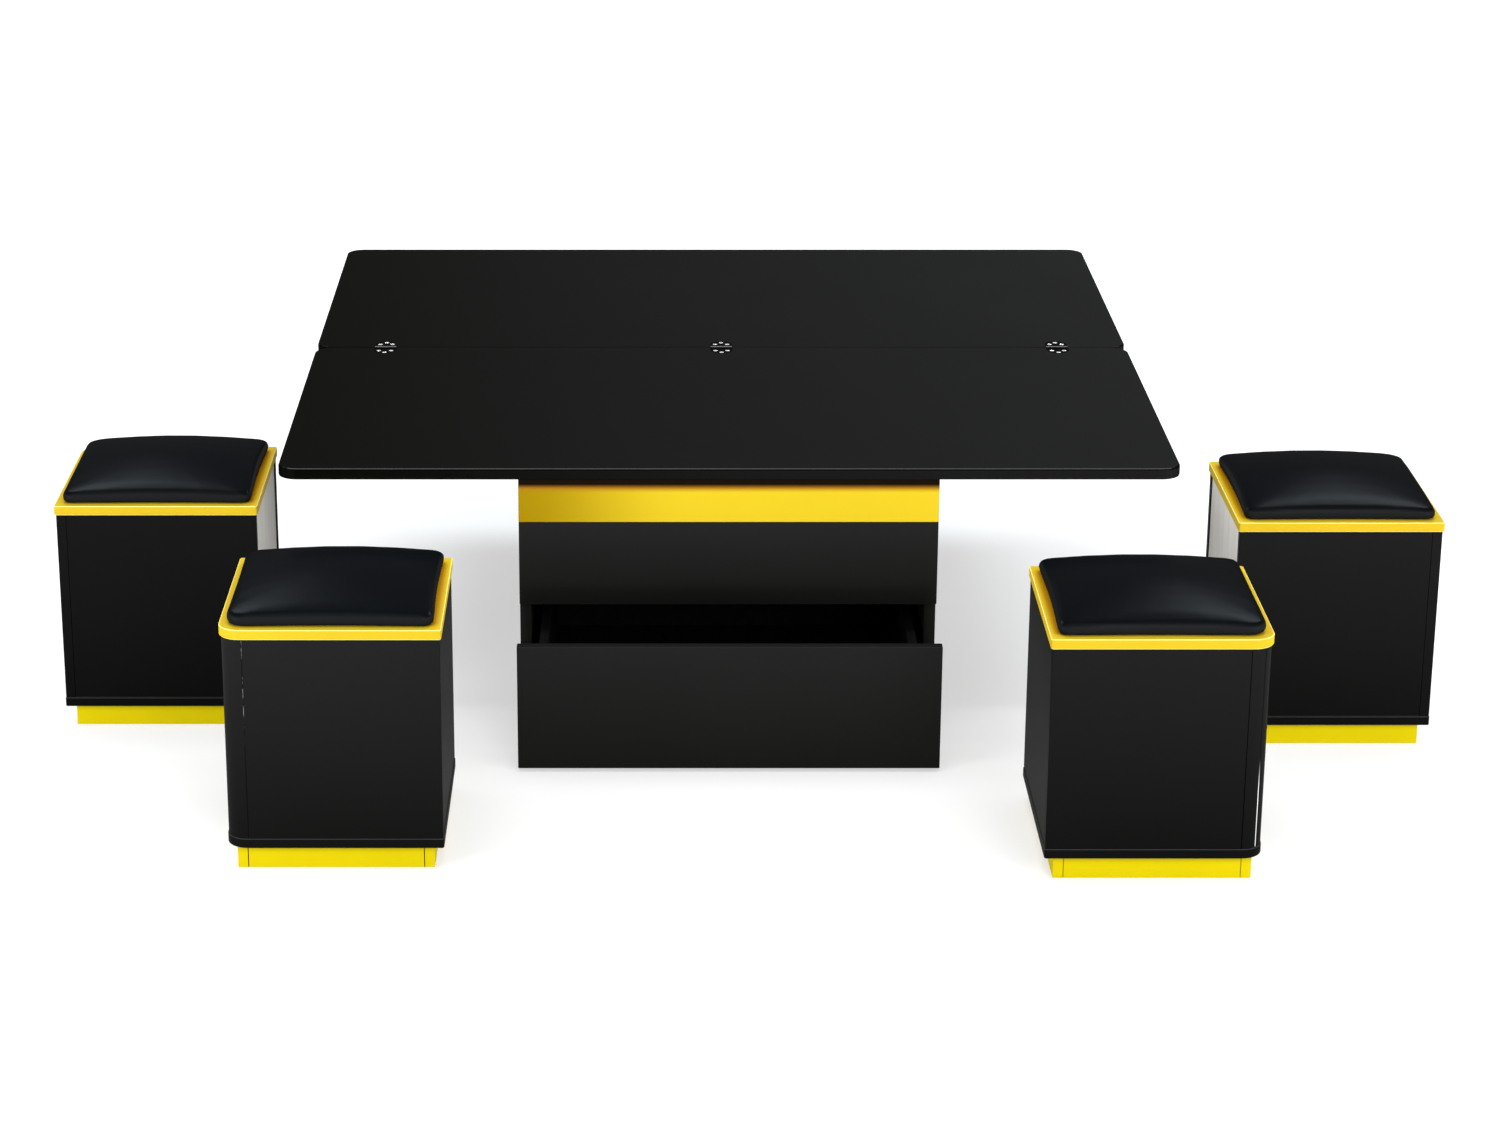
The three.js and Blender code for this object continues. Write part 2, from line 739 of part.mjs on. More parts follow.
function stoolPieces() {
  const size = stoolSize / 2 - stoolLip;
  const slabZ = [plinthHeight + seat, plinthHeight + thinBoard];
  const boardZ = [stoolHeight - stoolBoard, stoolHeight];
  const wallZ = [slabZ[1] + seat, boardZ[0] - seat];
  const t = thinBoard;
  const backY = [size - backingInset - backingThick, size - backingInset];
  const lifted = toGeometry(cushionSolid()).translate(0, 0, stoolHeight + seat);
  return {
    plinth: [plinthFrame(size - plinthInset), yellow],
    bottom_board: [rise(stoolOutline(size + stoolSlabLip), slabZ, arris), lacquer],
    corner_shell: [cornerShell(size, wallZ), lacquer],
    side_panel: [panel([size - t, size], [-size + t + seat, size], wallZ), lacquer],
    backing_panel: [panel([-size + t + seat, size - t - seat], backY, wallZ, seat), greyBoard],
    seat_board: [rise(stoolOutline(stoolSize / 2), boardZ, arris), yellow],
    cushion: [toSolid(lifted), leather],
  };
}

// The front stools show their rounded corner to the front, and the back ones outwards
function buildStools() {
  const pieces = stoolPieces();
  const quarter = Math.PI / 2;
  const stools = [
    { name: "front_left", at: stoolFrontOut.left, mirror: false, turn: 0 },
    { name: "front_right", at: stoolFrontOut.right, mirror: true, turn: 0 },
    { name: "back_left", at: stoolBackOut.left, mirror: false, turn: -quarter },
    { name: "back_right", at: stoolBackOut.right, mirror: true, turn: quarter },
  ];
  for (const stool of stools) {
    const group = new THREE.Group();
    group.position.set(...stool.at, 0);
    group.rotation.z = stool.turn;
    table.add(group);
    for (const [piece, [solid, material]] of Object.entries(pieces)) {
      const shape = stool.mirror ? reflected(solid) : solid;
      place(group, `stool_${stool.name}_${piece}`, shape, material);
    }
  }
}

buildCabinet();
buildDrawer();
buildLiftBase();
buildArms();
buildGasSprings();
buildPlatform();
buildLeaves();
buildStools();

export default table;
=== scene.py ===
"""Lift-top coffee table with four stools: finishes, leather cushions, fittings and studio.

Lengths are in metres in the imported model's frame, with -Y towards the drawer side. Colours
are linear. A pair of colours is the two ends of a finish's drift of tone.
"""
import math

import bpy
import bmesh
from mathutils import Matrix, Vector


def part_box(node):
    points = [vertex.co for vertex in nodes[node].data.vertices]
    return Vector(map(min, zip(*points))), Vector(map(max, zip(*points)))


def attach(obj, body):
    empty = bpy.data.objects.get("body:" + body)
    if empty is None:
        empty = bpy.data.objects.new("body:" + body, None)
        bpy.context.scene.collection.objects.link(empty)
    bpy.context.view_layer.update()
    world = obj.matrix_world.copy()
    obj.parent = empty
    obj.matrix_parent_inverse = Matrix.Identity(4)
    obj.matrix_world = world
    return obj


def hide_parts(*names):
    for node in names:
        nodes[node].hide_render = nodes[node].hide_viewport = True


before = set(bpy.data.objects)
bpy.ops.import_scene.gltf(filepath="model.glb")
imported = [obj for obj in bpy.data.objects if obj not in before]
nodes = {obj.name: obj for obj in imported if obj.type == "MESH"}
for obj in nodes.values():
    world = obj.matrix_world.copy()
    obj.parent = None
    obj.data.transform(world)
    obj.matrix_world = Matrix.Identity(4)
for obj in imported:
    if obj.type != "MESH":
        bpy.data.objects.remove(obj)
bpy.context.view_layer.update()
scene = bpy.context.scene

MM = 0.001
X, Y, Z = 0, 1, 2
STOOLS = ("front_left", "front_right", "back_left", "back_right")
STOOL_CORNER = 32 * MM      # radius of a stool's rounded corner
JOINT_Y = 0.35              # the joint of the two leaves, on the hinges' axis
FRONT_RIM_Y = -0.345        # the top's front rim is in front of this

# Camera: the photograph's view, solved from the corners of the top, the base and the stools
LENS, SENSOR, SHIFT = 86.103, 36.0, 0.0648
CAMERA_PLACE = (-0.1184, -5.6375, 2.1239)
CAMERA_DIP = 0.3311         # radians below level
NEAR, FAR = 0.1, 100.0


def grey(value):
    """A colour with no tint."""
    return (value, value, value)


# Colours of the lacquers
# Painted light: the panels' black runs lighter towards their top
PANEL_PAINTED_LIGHT = ((0.0070, 0.0070, 0.0063), (0.0136, 0.0136, 0.0134))
# Painted highlight on the panels' eased rims
PANEL_RIM_HIGHLIGHT = grey(0.018)
# Painted light: the stools' black runs lighter towards their top
STOOL_BLACK_PAINTED_LIGHT = ((0.0026, 0.0026, 0.0024), (0.0095, 0.0095, 0.0093))
# Painted highlight on the stools' eased rims
STOOL_RIM_HIGHLIGHT = grey(0.026)
# Painted light: the top's black runs lighter towards its right end
TOP_BLACK_PAINTED_LIGHT = ((0.0018, 0.0021, 0.0013), (0.0094, 0.0094, 0.0094))
# Painted shade on the top's rims, and a painted highlight along its front rim
TOP_RIM_PAINTED_SHADE = (0.0012, 0.0012, 0.0010)
TOP_PAINTED_HIGHLIGHT = grey(0.057)
YELLOW = ((0.60, 0.48, 0.002), (0.56, 0.365, 0.018))
# Painted highlight on the seat boards' eased rims
YELLOW_RIM_HIGHLIGHT = (0.84, 0.76, 0.24)
# Painted shadow of a cushion on its seat board's margin
YELLOW_MARGIN_PAINTED_SHADOW = (0.40, 0.19, 0.003)
# Painted shade: the kick frames darker above their lowest few centimetres
KICK_PAINTED_SHADE = ((0.60, 0.485, 0.002), (0.44, 0.34, 0.002))
# Painted shade in the kick boards' end seams
KICK_SEAM_PAINTED_SHADE = (0.03, 0.022, 0.001)
# Painted shade at the band's left end, and the painted shadow of the top along its upper edge
BAND_LEFT_PAINTED_SHADE = ((0.76, 0.55, 0.018), (0.38, 0.24, 0.001))
BAND_ORANGE_PAINTED_SHADOW = (0.43, 0.18, 0.010)
BAND_SHADOW = (0.008, 0.004, 0.001)

# Colours of the boards and of the cushions' covers
GREY_BOARD = ((0.72, 0.70, 0.66), (0.82, 0.80, 0.76))
DARK_BOARD = ((0.006, 0.006, 0.006), (0.013, 0.013, 0.0125))
# A light line's tones; on the right front stool it is a painted highlight
LIGHT_LINE_TONES = (grey(0.006), (0.86, 0.85, 0.82))
LEATHER = ((0.0011, 0.0016, 0.0021), (0.0021, 0.0029, 0.0037))
# Painted light on the cushions' sides
LEATHER_SIDE_PAINTED_LIGHT = (0.0095, 0.0102, 0.0115)

# Colours of the metals
POWDER_COAT = (0.012, 0.012, 0.013)
SPRING_PAINT = (0.008, 0.008, 0.009)
ZINC = (0.56, 0.57, 0.58)
CHROME = (0.78, 0.79, 0.8)
SCREW_ZINC = (0.75, 0.75, 0.74)
# The plating's rim colour is a painted highlight
PLATING, PLATING_RIM_HIGHLIGHT = grey(0.0016), grey(0.12)

# Painted shade: how light each stool's black is painted, as a share of the front left one's
FRONT_STOOL_SHADE = (1.0, 0.80)   # left, right
BACK_STOOL_SHADE = (0.42, 0.74)
BACK_ROW_Y = -0.45          # the back stools stand behind this


def make_camera():
    """The photograph's view."""
    data = bpy.data.cameras.new("camera")
    data.sensor_fit = "HORIZONTAL"
    data.sensor_width = SENSOR
    data.lens = LENS
    data.shift_x = SHIFT
    data.clip_start = NEAR
    data.clip_end = FAR
    camera = bpy.data.objects.new("camera", data)
    camera.location = CAMERA_PLACE
    camera.rotation_euler = (math.pi / 2 - CAMERA_DIP, 0.0, 0.0)
    scene.collection.objects.link(camera)
    scene.camera = camera


# Shader helpers

class Tree:
    """A material's node tree, with one Principled shader on its output."""

    def __init__(self, name, **constants):
        self.material = bpy.data.materials.new(name)
        self.material.use_nodes = True
        self.nodes = self.material.node_tree.nodes
        self.links = self.material.node_tree.links
        self.nodes.clear()
        output = self.add("ShaderNodeOutputMaterial")
        self.shader = self.add("ShaderNodeBsdfPrincipled")
        self.links.new(self.shader.outputs[0], output.inputs["Surface"])
        for key, value in constants.items():
            self.shader.inputs[key.replace("_", " ")].default_value = value
        coords = self.add("ShaderNodeTexCoord")
        self.object = coords.outputs["Object"]
        self.generated = coords.outputs["Generated"]

    def add(self, kind, **settings):
        """A new node with its settings."""
        node = self.nodes.new(kind)
        for key, value in settings.items():
            setattr(node, key, value)
        return node

    def feed(self, socket, value):
        """Links a socket to the input, or sets the input to a constant."""
        if isinstance(value, bpy.types.NodeSocket):
            self.links.new(value, socket)
        else:
            socket.default_value = value

    def math(self, operation, a, b=0.0, clamp=False):
        """One sum of two values, which are sockets or numbers."""
        node = self.add("ShaderNodeMath", operation=operation, use_clamp=clamp)
        self.feed(node.inputs[0], a)
        self.feed(node.inputs[1], b)
        return node.outputs[0]

    def times(self, a, b):
        """The product of two values."""
        return self.math("MULTIPLY", a, b)

    def above(self, value, limit):
        """1 where the value is over the limit, else 0."""
        return self.math("GREATER_THAN", value, limit)

    def away(self, value, middle):
        """How far the value is from the middle, to either side."""
        return self.math("ABSOLUTE", self.math("SUBTRACT", value, middle))

    def between(self, value, low, high):
        """1 where the value is between the two limits, else 0."""
        return self.times(self.above(value, low), self.math("LESS_THAN", value, high))

    def scaled(self, scale):
        """The object's own coordinates, stretched or squeezed along each axis."""
        node = self.add("ShaderNodeMapping")
        self.feed(node.inputs["Vector"], self.object)
        node.inputs["Scale"].default_value = scale
        return node.outputs[0]

    def axis(self, vector, index):
        """One coordinate of a vector: X, Y or Z."""
        node = self.add("ShaderNodeSeparateXYZ")
        self.feed(node.inputs[0], vector)
        return node.outputs[index]

    def noise(self, scale, detail=3.0, rough=0.55, vector=None):
        """Clouds, from 0 to 1, on the object's own coordinates or on others."""
        node = self.add("ShaderNodeTexNoise")
        self.feed(node.inputs["Vector"], vector or self.object)
        node.inputs["Scale"].default_value = scale
        node.inputs["Detail"].default_value = detail
        node.inputs["Roughness"].default_value = rough
        return node.outputs["Fac"]

    def cells(self, scale):
        """Rounded pebbles."""
        node = self.add("ShaderNodeTexVoronoi", feature="SMOOTH_F1")
        self.feed(node.inputs["Vector"], self.object)
        node.inputs["Scale"].default_value = scale
        return node.outputs["Distance"]

    def spread(self, value, low=0.0, high=1.0, start=0.0, end=1.0, kind="LINEAR"):
        """The value's range from start to end, run from low to high."""
        node = self.add("ShaderNodeMapRange", interpolation_type=kind)
        self.feed(node.inputs["Value"], value)
        for key, number in (("From Min", start), ("From Max", end),
                            ("To Min", low), ("To Max", high)):
            node.inputs[key].default_value = number
        return node.outputs["Result"]

    def grow(self, value, start, end, high=1.0):
        """A smooth step up from 0 at start to high at end."""
        return self.spread(value, 0.0, high, start, end, "SMOOTHSTEP")

    def fade(self, value, start, end):
        """A smooth step down from 1 at start to 0 at end."""
        return self.spread(value, 1.0, 0.0, start, end, "SMOOTHSTEP")

    def mix(self, factor, a, b, blend="MIX"):
        """A colour between two, which are sockets or triples."""
        node = self.add("ShaderNodeMix", data_type="RGBA", blend_type=blend)
        self.feed(node.inputs["Factor"], factor)
        for socket, color in ((node.inputs[6], a), (node.inputs[7], b)):
            if not isinstance(color, bpy.types.NodeSocket):
                color = (*color, 1.0)
            self.feed(socket, color)
        return node.outputs[2]

    def tinted(self, color, factor):
        """A colour made lighter or darker by a factor near 1."""
        joined = self.add("ShaderNodeCombineColor")
        for socket in joined.inputs:
            self.feed(socket, factor)
        return self.mix(1.0, color, joined.outputs[0], "MULTIPLY")

    def mottled(self, color, low, high, **noise):
        """A colour made lighter and darker by a noise between two factors."""
        return self.tinted(color, self.spread(self.noise(**noise), low, high))

    def bump(self, height, strength, distance, normal=None):
        """A normal roughened by a height, over another normal where one is given."""
        node = self.add("ShaderNodeBump")
        self.feed(node.inputs["Height"], height)
        node.inputs["Strength"].default_value = strength
        node.inputs["Distance"].default_value = distance
        if normal is not None:
            self.feed(node.inputs["Normal"], normal)
        return node.outputs[0]

    def lean(self):
        """How far a face looks up in its object's own frame, from -1 to 1."""
        normal = self.add("ShaderNodeNewGeometry").outputs["True Normal"]
        turned = self.add("ShaderNodeVectorTransform", vector_type="NORMAL",
                          convert_from="WORLD", convert_to="OBJECT")
        self.feed(turned.inputs[0], normal)
        return self.axis(turned.outputs[0], Z)

    def rim(self):
        """1 on the eased rims of a board, whose faces lean between level and upright."""
        return self.between(self.math("ABSOLUTE", self.lean()), 0.2, 0.95)

    def right_side(self):
        """1 on the pieces to the right of the table's middle."""
        return self.above(self.axis(self.object, X), 0.0)

    def finish(self, color, rough=None, normal=None):
        """Feeds the Principled shader and gives the material."""
        for key, value in (("Base Color", color), ("Roughness", rough), ("Normal", normal)):
            if value is not None:
                self.feed(self.shader.inputs[key], value)
        return self.material

    def sprayed(self, color, rough):
        """Ends a lacquer with its cloudy sheen and its orange peel."""
        smudge = self.spread(self.noise(scale=9.0, detail=5.0, rough=0.65),
                             rough - 0.05, rough + 0.07)
        peel = self.noise(scale=260.0, detail=1.5, rough=0.4)
        return self.finish(color, smudge, self.bump(peel, strength=0.08, distance=0.2 * MM))


# Finishes

def painted_margin_shadow(tree, color):
    """Painted shadow of the cushion on a seat board's margin beside it, on the side by the
    table.
    """
    side = tree.math("SIGN", tree.axis(tree.object, X))
    across = tree.math("SUBTRACT", tree.axis(tree.generated, X), 0.5)
    inner = tree.times(tree.times(across, side), -1.0)
    near = tree.times(tree.grow(inner, 0.40, 0.44), tree.fade(inner, 0.462, 0.496))
    along = tree.away(tree.axis(tree.generated, Y), 0.5)
    near = tree.times(near, tree.fade(along, 0.40, 0.47))
    on_top = tree.above(tree.axis(tree.generated, Z), 0.97)
    return tree.mix(tree.times(near, on_top), color, YELLOW_MARGIN_PAINTED_SHADOW)


def painted_stool_shade(tree, color):
    """Painted shade: each stool's black is darkened by its own factor, the back ones the most.
    """
    right = tree.right_side()
    back = tree.above(tree.axis(tree.object, Y), BACK_ROW_Y)
    front_shade = tree.spread(right, *FRONT_STOOL_SHADE)
    back_shade = tree.spread(right, *BACK_STOOL_SHADE)
    gap = tree.math("SUBTRACT", back_shade, front_shade)
    return tree.tinted(color, tree.math("ADD", front_shade, tree.times(gap, back)))


def top_rim_light_and_shade(tree, color):
    """Painted shade on the rims, and a painted highlight as a thin light line along the front
    one. The rims at the joint of the leaves stay as dark as the board."""
    lean = tree.lean()
    along = tree.axis(tree.object, Y)
    off_joint = tree.above(tree.away(along, JOINT_Y), 10 * MM)
    edge = tree.times(tree.between(lean, 0.2, 0.95), off_joint)
    color = tree.mix(edge, color, TOP_RIM_PAINTED_SHADE)
    line = tree.times(tree.between(lean, 0.8, 0.95),
                      tree.math("LESS_THAN", along, FRONT_RIM_Y))
    return tree.mix(line, color, TOP_PAINTED_HIGHLIGHT)


def lacquer(name, tones, drift, rough, coat, coat_rough, rim=None, shade=None):
    """Sprayed lacquer: a drift of tone along one axis, fine specks and painted highlights on
    the rims. The drift is given as coordinates, axis, start and end; on the black lacquers it
    is painted light."""
    tree = Tree(name, Specular_IOR_Level=0.0, Coat_Weight=coat, Coat_Roughness=coat_rough)
    coordinates, index, start, end = drift
    along = tree.axis(getattr(tree, coordinates), index)
    color = tree.mix(tree.spread(along, start=start, end=end), *tones)
    color = tree.mottled(color, 0.92, 1.08, scale=4.0, detail=2.0)
    color = tree.mottled(color, 0.96, 1.04, scale=900.0, detail=2.0)
    if shade is not None:
        color = shade(tree, color)
    # Painted highlight: the eased rims take the rim colour
    if rim is not None:
        color = tree.mix(tree.rim(), color, rim)
    return tree.sprayed(color, rough)


def seam_light_and_highlight():
    """A light line: in broken patches high up on a left stool, and a painted highlight over all
    of its lower part on a right one."""
    tree = Tree("seam_light_and_painted_highlight", Specular_IOR_Level=0.0, Roughness=0.6)
    height = tree.axis(tree.object, Z)
    right = tree.right_side()
    low = tree.fade(height, 0.13, 0.19)
    high = tree.grow(height, 0.19, 0.31, high=0.45)
    broken = tree.noise(scale=60.0, detail=4.0, rough=0.7, vector=tree.scaled((1.0, 1.0, 0.5)))
    patches = tree.times(high, tree.spread(broken, start=0.48, end=0.62))
    left = tree.times(patches, tree.math("SUBTRACT", 1.0, right))
    # The right stool's light is a painted highlight
    bare = tree.math("ADD", left, tree.times(right, low), clamp=True)
    return tree.finish(tree.mix(bare, *LIGHT_LINE_TONES))


def kick_lacquer():
    """The kick frames' yellow, with painted shade towards their top and in the boards' end
    seams.
    """
    tree = Tree("yellow_kick", Specular_IOR_Level=0.0, Coat_Weight=0.06, Coat_Roughness=0.16)
    # Painted shade: darker towards the top of the frame
    color = tree.mix(tree.grow(tree.axis(tree.object, Z), 0.02, 0.036), *KICK_PAINTED_SHADE)
    color = tree.mottled(color, 0.93, 1.07, scale=6.0)
    normal = tree.add("ShaderNodeNewGeometry").outputs["True Normal"]
    across, along = (tree.above(tree.math("ABSOLUTE", tree.axis(normal, index)), 0.25)
                     for index in (X, Y))
    # Painted shade in the seams' grooves, fainter on the right stools
    seam = tree.times(tree.times(across, along), tree.spread(tree.right_side(), 1.0, 0.3))
    return tree.sprayed(tree.mix(seam, color, KICK_SEAM_PAINTED_SHADE), rough=0.4)


def band_lacquer():
    """The yellow frame under the top, with painted shade at its left end and a painted
    shadow of the top along its upper edge.
    """
    tree = Tree("yellow_band", Specular_IOR_Level=0.0, Coat_Weight=0.06, Coat_Roughness=0.16)
    # Painted shade: darker towards the left end
    color = tree.mix(tree.fade(tree.axis(tree.object, X), -0.34, -0.06), *BAND_LEFT_PAINTED_SHADE)
    height = tree.axis(tree.object, Z)
    # Painted shadow of the top: orange, then near black, towards the upper edge
    color = tree.mix(tree.grow(height, 0.411, 0.421), color, BAND_ORANGE_PAINTED_SHADOW)
    color = tree.mix(tree.grow(height, 0.417, 0.426), color, BAND_SHADOW)
    color = tree.mottled(color, 0.97, 1.03, scale=4.0, detail=2.0)
    return tree.sprayed(color, rough=0.4)


def leather():
    """Smooth black cover: a fine pebble grain, small creases, a cool shine and painted light on
    its sides.
    """
    tree = Tree("cushion_cover", Specular_IOR_Level=0.0, Coat_Weight=0.031, Coat_Roughness=0.27)
    color = tree.mix(tree.noise(scale=3.0, detail=1.0), *LEATHER)
    color = tree.mottled(color, 0.85, 1.15, scale=22.0, rough=0.6)
    lean = tree.axis(tree.add("ShaderNodeNewGeometry").outputs["Normal"], Z)
    # Painted light: the sides lighter than the top
    color = tree.mix(tree.fade(lean, 0.45, 0.92), color, LEATHER_SIDE_PAINTED_LIGHT)
    grain = tree.times(tree.cells(scale=1050.0), 0.8)
    pore = tree.times(tree.noise(scale=2300.0, detail=2.0), 0.35)
    fine = tree.bump(tree.math("ADD", grain, pore), strength=0.22, distance=0.4 * MM)
    crease = tree.noise(scale=38.0, detail=4.0, rough=0.6, vector=tree.scaled((1.0, 1.6, 1.0)))
    full = tree.bump(crease, strength=0.16, distance=1.2 * MM, normal=fine)
    sheen = tree.spread(tree.noise(scale=30.0, detail=4.0, rough=0.6), 0.42, 0.6)
    return tree.finish(color, sheen, full)


def steel(name, color, rough, stretch, bump=0.08):
    """Bare or plated sheet steel, brushed along its length."""
    tree = Tree(name, Metallic=1.0)
    streak = tree.noise(scale=90.0, detail=4.0, rough=0.7, vector=tree.scaled(stretch))
    blot = tree.spread(tree.noise(scale=18.0), rough - 0.06, rough + 0.1)
    return tree.finish(tree.tinted(color, tree.spread(streak, 0.86, 1.1)), blot,
                       tree.bump(streak, strength=bump, distance=0.2 * MM))


def coated_steel(name, color, rough, coat):
    """Black powder coat or paint on steel, with its fine pimples and painted highlights on its
    rims.
    """
    tree = Tree(name, Specular_IOR_Level=0.12, Coat_Weight=coat, Coat_Roughness=0.2)
    # Painted highlight: the rims run lighter
    base = tree.mix(tree.rim(), color, tuple(part * 2.2 for part in color))
    sheen = tree.spread(tree.noise(scale=40.0), rough - 0.06, rough + 0.08)
    pimple = tree.noise(scale=1400.0, detail=2.0, rough=0.5)
    return tree.finish(tree.mottled(base, 0.85, 1.15, scale=12.0), sheen,
                       tree.bump(pimple, strength=0.25, distance=0.3 * MM))


def hinge_black():
    """Black plating with painted highlights on its rims, that stays dark in the flat of the
    plate.
    """
    tree = Tree("black_plating", Specular_IOR_Level=0.0, Coat_Weight=0.02, Coat_Roughness=0.2)
    base = tree.mix(tree.rim(), PLATING, PLATING_RIM_HIGHLIGHT)
    streak = tree.noise(scale=300.0, rough=0.7, vector=tree.scaled((0.1, 1.0, 1.0)))
    return tree.finish(tree.mottled(base, 0.8, 1.2, scale=120.0),
                       tree.spread(streak, 0.35, 0.5),
                       tree.bump(streak, strength=0.08, distance=0.2 * MM))


def board(name, tones, stretch, rough):
    """Melamine or backing board: long faint fibres under a matt face."""
    tree = Tree(name, Specular_IOR_Level=0.0, Coat_Weight=0.04, Coat_Roughness=0.35)
    fibre = tree.noise(scale=60.0, detail=5.0, rough=0.7, vector=tree.scaled(stretch))
    color = tree.mix(tree.spread(fibre, start=0.3, end=0.7), *tones)
    return tree.finish(tree.mottled(color, 0.94, 1.06, scale=5.0, detail=2.0),
                       tree.spread(fibre, rough - 0.05, rough + 0.08),
                       tree.bump(fibre, strength=0.06, distance=0.3 * MM))


def make_materials():
    """Every material, under the name of its finish."""
    return {
        # The black lacquers' drifts are painted light, lighter upwards or to the right; their
        # rim colours are painted highlights
        "black_lacquer": lacquer("black_panel", PANEL_PAINTED_LIGHT, ("generated", Z, 0.0, 1.0),
                                 rough=0.42, coat=0.07, coat_rough=0.16, rim=PANEL_RIM_HIGHLIGHT),
        "stool_lacquer": lacquer("black_stool", STOOL_BLACK_PAINTED_LIGHT, ("object", Z, 0.03, 0.36),
                                 rough=0.42, coat=0.08, coat_rough=0.14, rim=STOOL_RIM_HIGHLIGHT,
                                 shade=painted_stool_shade),
        "tabletop_lacquer": lacquer("black_top", TOP_BLACK_PAINTED_LIGHT, ("object", X, -0.7, 0.7),
                                    rough=0.35, coat=0.025, coat_rough=0.05, shade=top_rim_light_and_shade),
        "yellow_lacquer": lacquer("yellow_panel", YELLOW, ("object", Z, 0.0, 0.45),
                                  rough=0.4, coat=0.06, coat_rough=0.16, rim=YELLOW_RIM_HIGHLIGHT,
                                  shade=painted_margin_shadow),
        "band_lacquer": band_lacquer(),
        "kick_lacquer": kick_lacquer(),
        "seam_light_and_highlight": seam_light_and_highlight(),
        "grey_backing": board("grey_back_board", GREY_BOARD, (1.0, 1.0, 0.08), rough=0.6),
        "drawer_board": board("dark_melamine", DARK_BOARD, (1.0, 0.06, 1.0), rough=0.5),
        "cushion_leather": leather(),
        "black_steel": coated_steel("powder_coat", POWDER_COAT, rough=0.5, coat=0.15),
        "slide_steel": steel("zinc_plate", ZINC, rough=0.34, stretch=(1.0, 0.03, 1.0)),
        "hinge_steel": hinge_black(),
        "spring_tube": coated_steel("gloss_black_paint", SPRING_PAINT, rough=0.25, coat=0.5),
        "spring_rod": steel("chrome_plate", CHROME, rough=0.1, stretch=(1.0, 0.2, 0.2),
                            bump=0.02),
        "screw_steel": steel("bright_zinc", SCREW_ZINC, rough=0.24, stretch=(1.0, 1.0, 1.0)),
    }


# What each CAD node is finished in, by a part of its name. The first that fits holds, and
# the rest are in black lacquer.
FINISHES = (
    ("bottom_board", "stool_lacquer"),
    ("corner_shell", "stool_lacquer"),
    ("side_panel", "stool_lacquer"),
    ("apron_frame", "band_lacquer"),
    ("plinth", "kick_lacquer"),
    ("seat_board", "yellow_lacquer"),
    ("backing_panel", "grey_backing"),
    ("cushion", "cushion_leather"),
    ("_leaf", "tabletop_lacquer"),
    ("drawer_front", "black_lacquer"),
    ("drawer_", "drawer_board"),
    ("base_bottom", "drawer_board"),
    ("slide_", "slide_steel"),
    ("hinge_plate", "hinge_steel"),
    ("gas_cylinder", "spring_tube"),
    ("gas_rod", "spring_rod"),
    ("lift_", "black_steel"),
    ("arm_frame", "black_steel"),
)
WELD = 0.01 * MM            # facets' corners closer than this are one
SHARP = math.radians(60)    # edges that turn by more than this stay sharp
FLAT_WEIGHT = 80            # how strongly the large faces keep their own flat shading


def finish_of(name):
    """The finish of a CAD node."""
    return next((finish for part, finish in FINISHES if part in name), "black_lacquer")


def shading_group():
    """Joins the split facets of a CAD node, rounds them and keeps square edges sharp."""
    group = bpy.data.node_groups.new("joined_facets", "GeometryNodeTree")
    for way in ("INPUT", "OUTPUT"):
        group.interface.new_socket("Geometry", in_out=way, socket_type="NodeSocketGeometry")
    first = group.nodes.new("NodeGroupInput")
    last = group.nodes.new("NodeGroupOutput")
    bare = group.nodes.new("GeometryNodeRemoveAttribute")
    bare.inputs["Name"].default_value = "custom_normal"
    weld = group.nodes.new("GeometryNodeMergeByDistance")
    weld.inputs["Distance"].default_value = WELD
    soft = group.nodes.new("GeometryNodeSetShadeSmooth")
    soft.domain = "FACE"
    sharp = group.nodes.new("GeometryNodeSetShadeSmooth")
    sharp.domain = "EDGE"
    sharp.inputs["Shade Smooth"].default_value = False
    angle = group.nodes.new("GeometryNodeInputMeshEdgeAngle")
    over = group.nodes.new("FunctionNodeCompare")
    over.data_type = "FLOAT"
    over.operation = "GREATER_THAN"
    over.inputs[1].default_value = SHARP
    link = group.links.new
    link(first.outputs[0], bare.inputs["Geometry"])
    for node, following in ((bare, weld), (weld, soft), (soft, sharp)):
        link(node.outputs["Geometry"], following.inputs["Geometry"])
    link(angle.outputs["Unsigned Angle"], over.inputs[0])
    link(over.outputs["Result"], sharp.inputs["Selection"])
    link(sharp.outputs["Geometry"], last.inputs[0])
    return group


def dress_nodes(materials):
    """Gives each CAD node its finish and its smooth shading, with the mesh as it is."""
    group = shading_group()
    for name, node in nodes.items():
        if not node.data.materials:
            node.data.materials.append(None)
        for place in node.material_slots:
            place.link = "OBJECT"
            place.material = materials[finish_of(name)]
        joined = node.modifiers.new("joined_facets", "NODES")
        joined.node_group = group
        weighted = node.modifiers.new("flat_faces", "WEIGHTED_NORMAL")
        weighted.keep_sharp = True
        weighted.weight = FLAT_WEIGHT


# Cushions
COVER_WIDER, COVER_HIGHER = 1.012, 1.01     # the cover's size over the foam's
SAT_SHARE = 0.22            # how far the middle of the front edge is sat down
COVER_GRID = 4 * MM
COVER_REACH = 1.5 * MM      # the most that a point of the cover moves off the foam
SEAM_HEIGHT = 1.5 * MM      # the cover is held to its board below this
COVER_STEPS = 20
COVER_CLOTH = {
    "quality": 6,
    "mass": 0.3,
    "tension_stiffness": 30,
    "compression_stiffness": 4,
    "shear_stiffness": 6,
    "bending_stiffness": 10,
    "use_pressure": True,
    "uniform_pressure_force": 0.4,
    "vertex_group_mass": "pinned",
}


